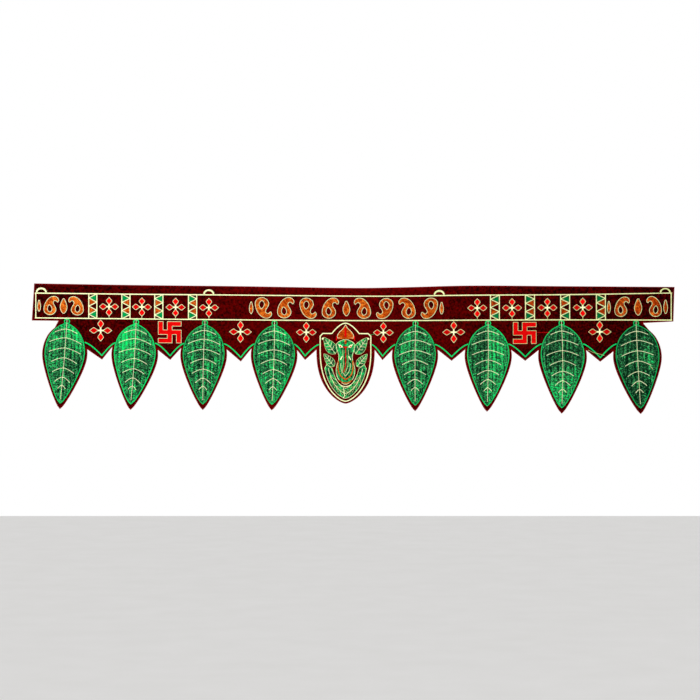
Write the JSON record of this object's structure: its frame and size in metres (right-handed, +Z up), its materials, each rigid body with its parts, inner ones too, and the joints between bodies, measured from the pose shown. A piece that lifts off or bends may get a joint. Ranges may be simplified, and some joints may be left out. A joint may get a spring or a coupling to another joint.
{
  "type": "toran door hanging",
  "caption": "Embroidered velvet toran with a flat top edge for a door lintel, a bordered band, hanging leaves, pointed drops and a central shield.",
  "frame": {"origin": "middle of the top edge, on the back of the cloth, where it lies against the lintel", "axes": "+X to the viewer's right along the top edge, +Y from the front into the wall, +Z up"},
  "size_m": [0.9652, 0.0118, 0.1958],
  "materials": {
    "velvet": "matt cut pile, deep maroon",
    "leaf_thread": "satin embroidery thread, mixed leaf greens",
    "green_thread": "satin embroidery thread, bright green",
    "cream_thread": "satin embroidery thread, cream",
    "red_thread": "satin embroidery thread, red",
    "orange_thread": "satin embroidery thread, orange"
  },
  "bodies": {
    "root": {"velvet_panel": "velvet", "band_border": "cream_thread", "hanging_ring_1": "cream_thread", "hanging_ring_2": "cream_thread", "hanging_ring_3": "cream_thread", "hanging_ring_4": "cream_thread", "band_flower_1": "red_thread", "band_flower_2": "red_thread", "band_flower_3": "red_thread", "band_flower_4": "red_thread", "band_flower_5": "red_thread", "band_flower_6": "red_thread", "band_flower_7": "red_thread", "band_flower_8": "red_thread", "scroll_1": "orange_thread", "scroll_2": "orange_thread", "scroll_3": "orange_thread", "scroll_4": "orange_thread", "scroll_5": "orange_thread", "scroll_6": "orange_thread", "scroll_7": "orange_thread", "scroll_8": "orange_thread", "end_scroll_1": "orange_thread", "end_scroll_2": "orange_thread", "end_scroll_3": "orange_thread", "end_scroll_4": "orange_thread", "centre_bud": "orange_thread", "leaf_1": "leaf_thread", "leaf_2": "leaf_thread", "leaf_3": "leaf_thread", "leaf_4": "leaf_thread", "leaf_5": "leaf_thread", "leaf_6": "leaf_thread", "leaf_7": "leaf_thread", "leaf_8": "leaf_thread", "drop_flower_1": "red_thread", "drop_flower_2": "red_thread", "drop_flower_3": "red_thread", "drop_flower_4": "red_thread", "drop_flower_5": "red_thread", "drop_flower_6": "red_thread", "swastik_left": "red_thread", "swastik_right": "red_thread", "drop_edging_1": "green_thread", "drop_edging_2": "green_thread", "drop_edging_3": "green_thread", "drop_edging_4": "green_thread", "drop_edging_5": "green_thread", "drop_edging_6": "green_thread", "drop_edging_7": "green_thread", "drop_edging_8": "green_thread", "shield_border": "cream_thread", "emblem_figure": "leaf_thread", "emblem_crown": "orange_thread", "emblem_ear_left": "leaf_thread", "emblem_arm_left": "leaf_thread", "emblem_ear_right": "leaf_thread", "emblem_arm_right": "leaf_thread", "emblem_seat": "leaf_thread"}
  },
  "joints": []
}
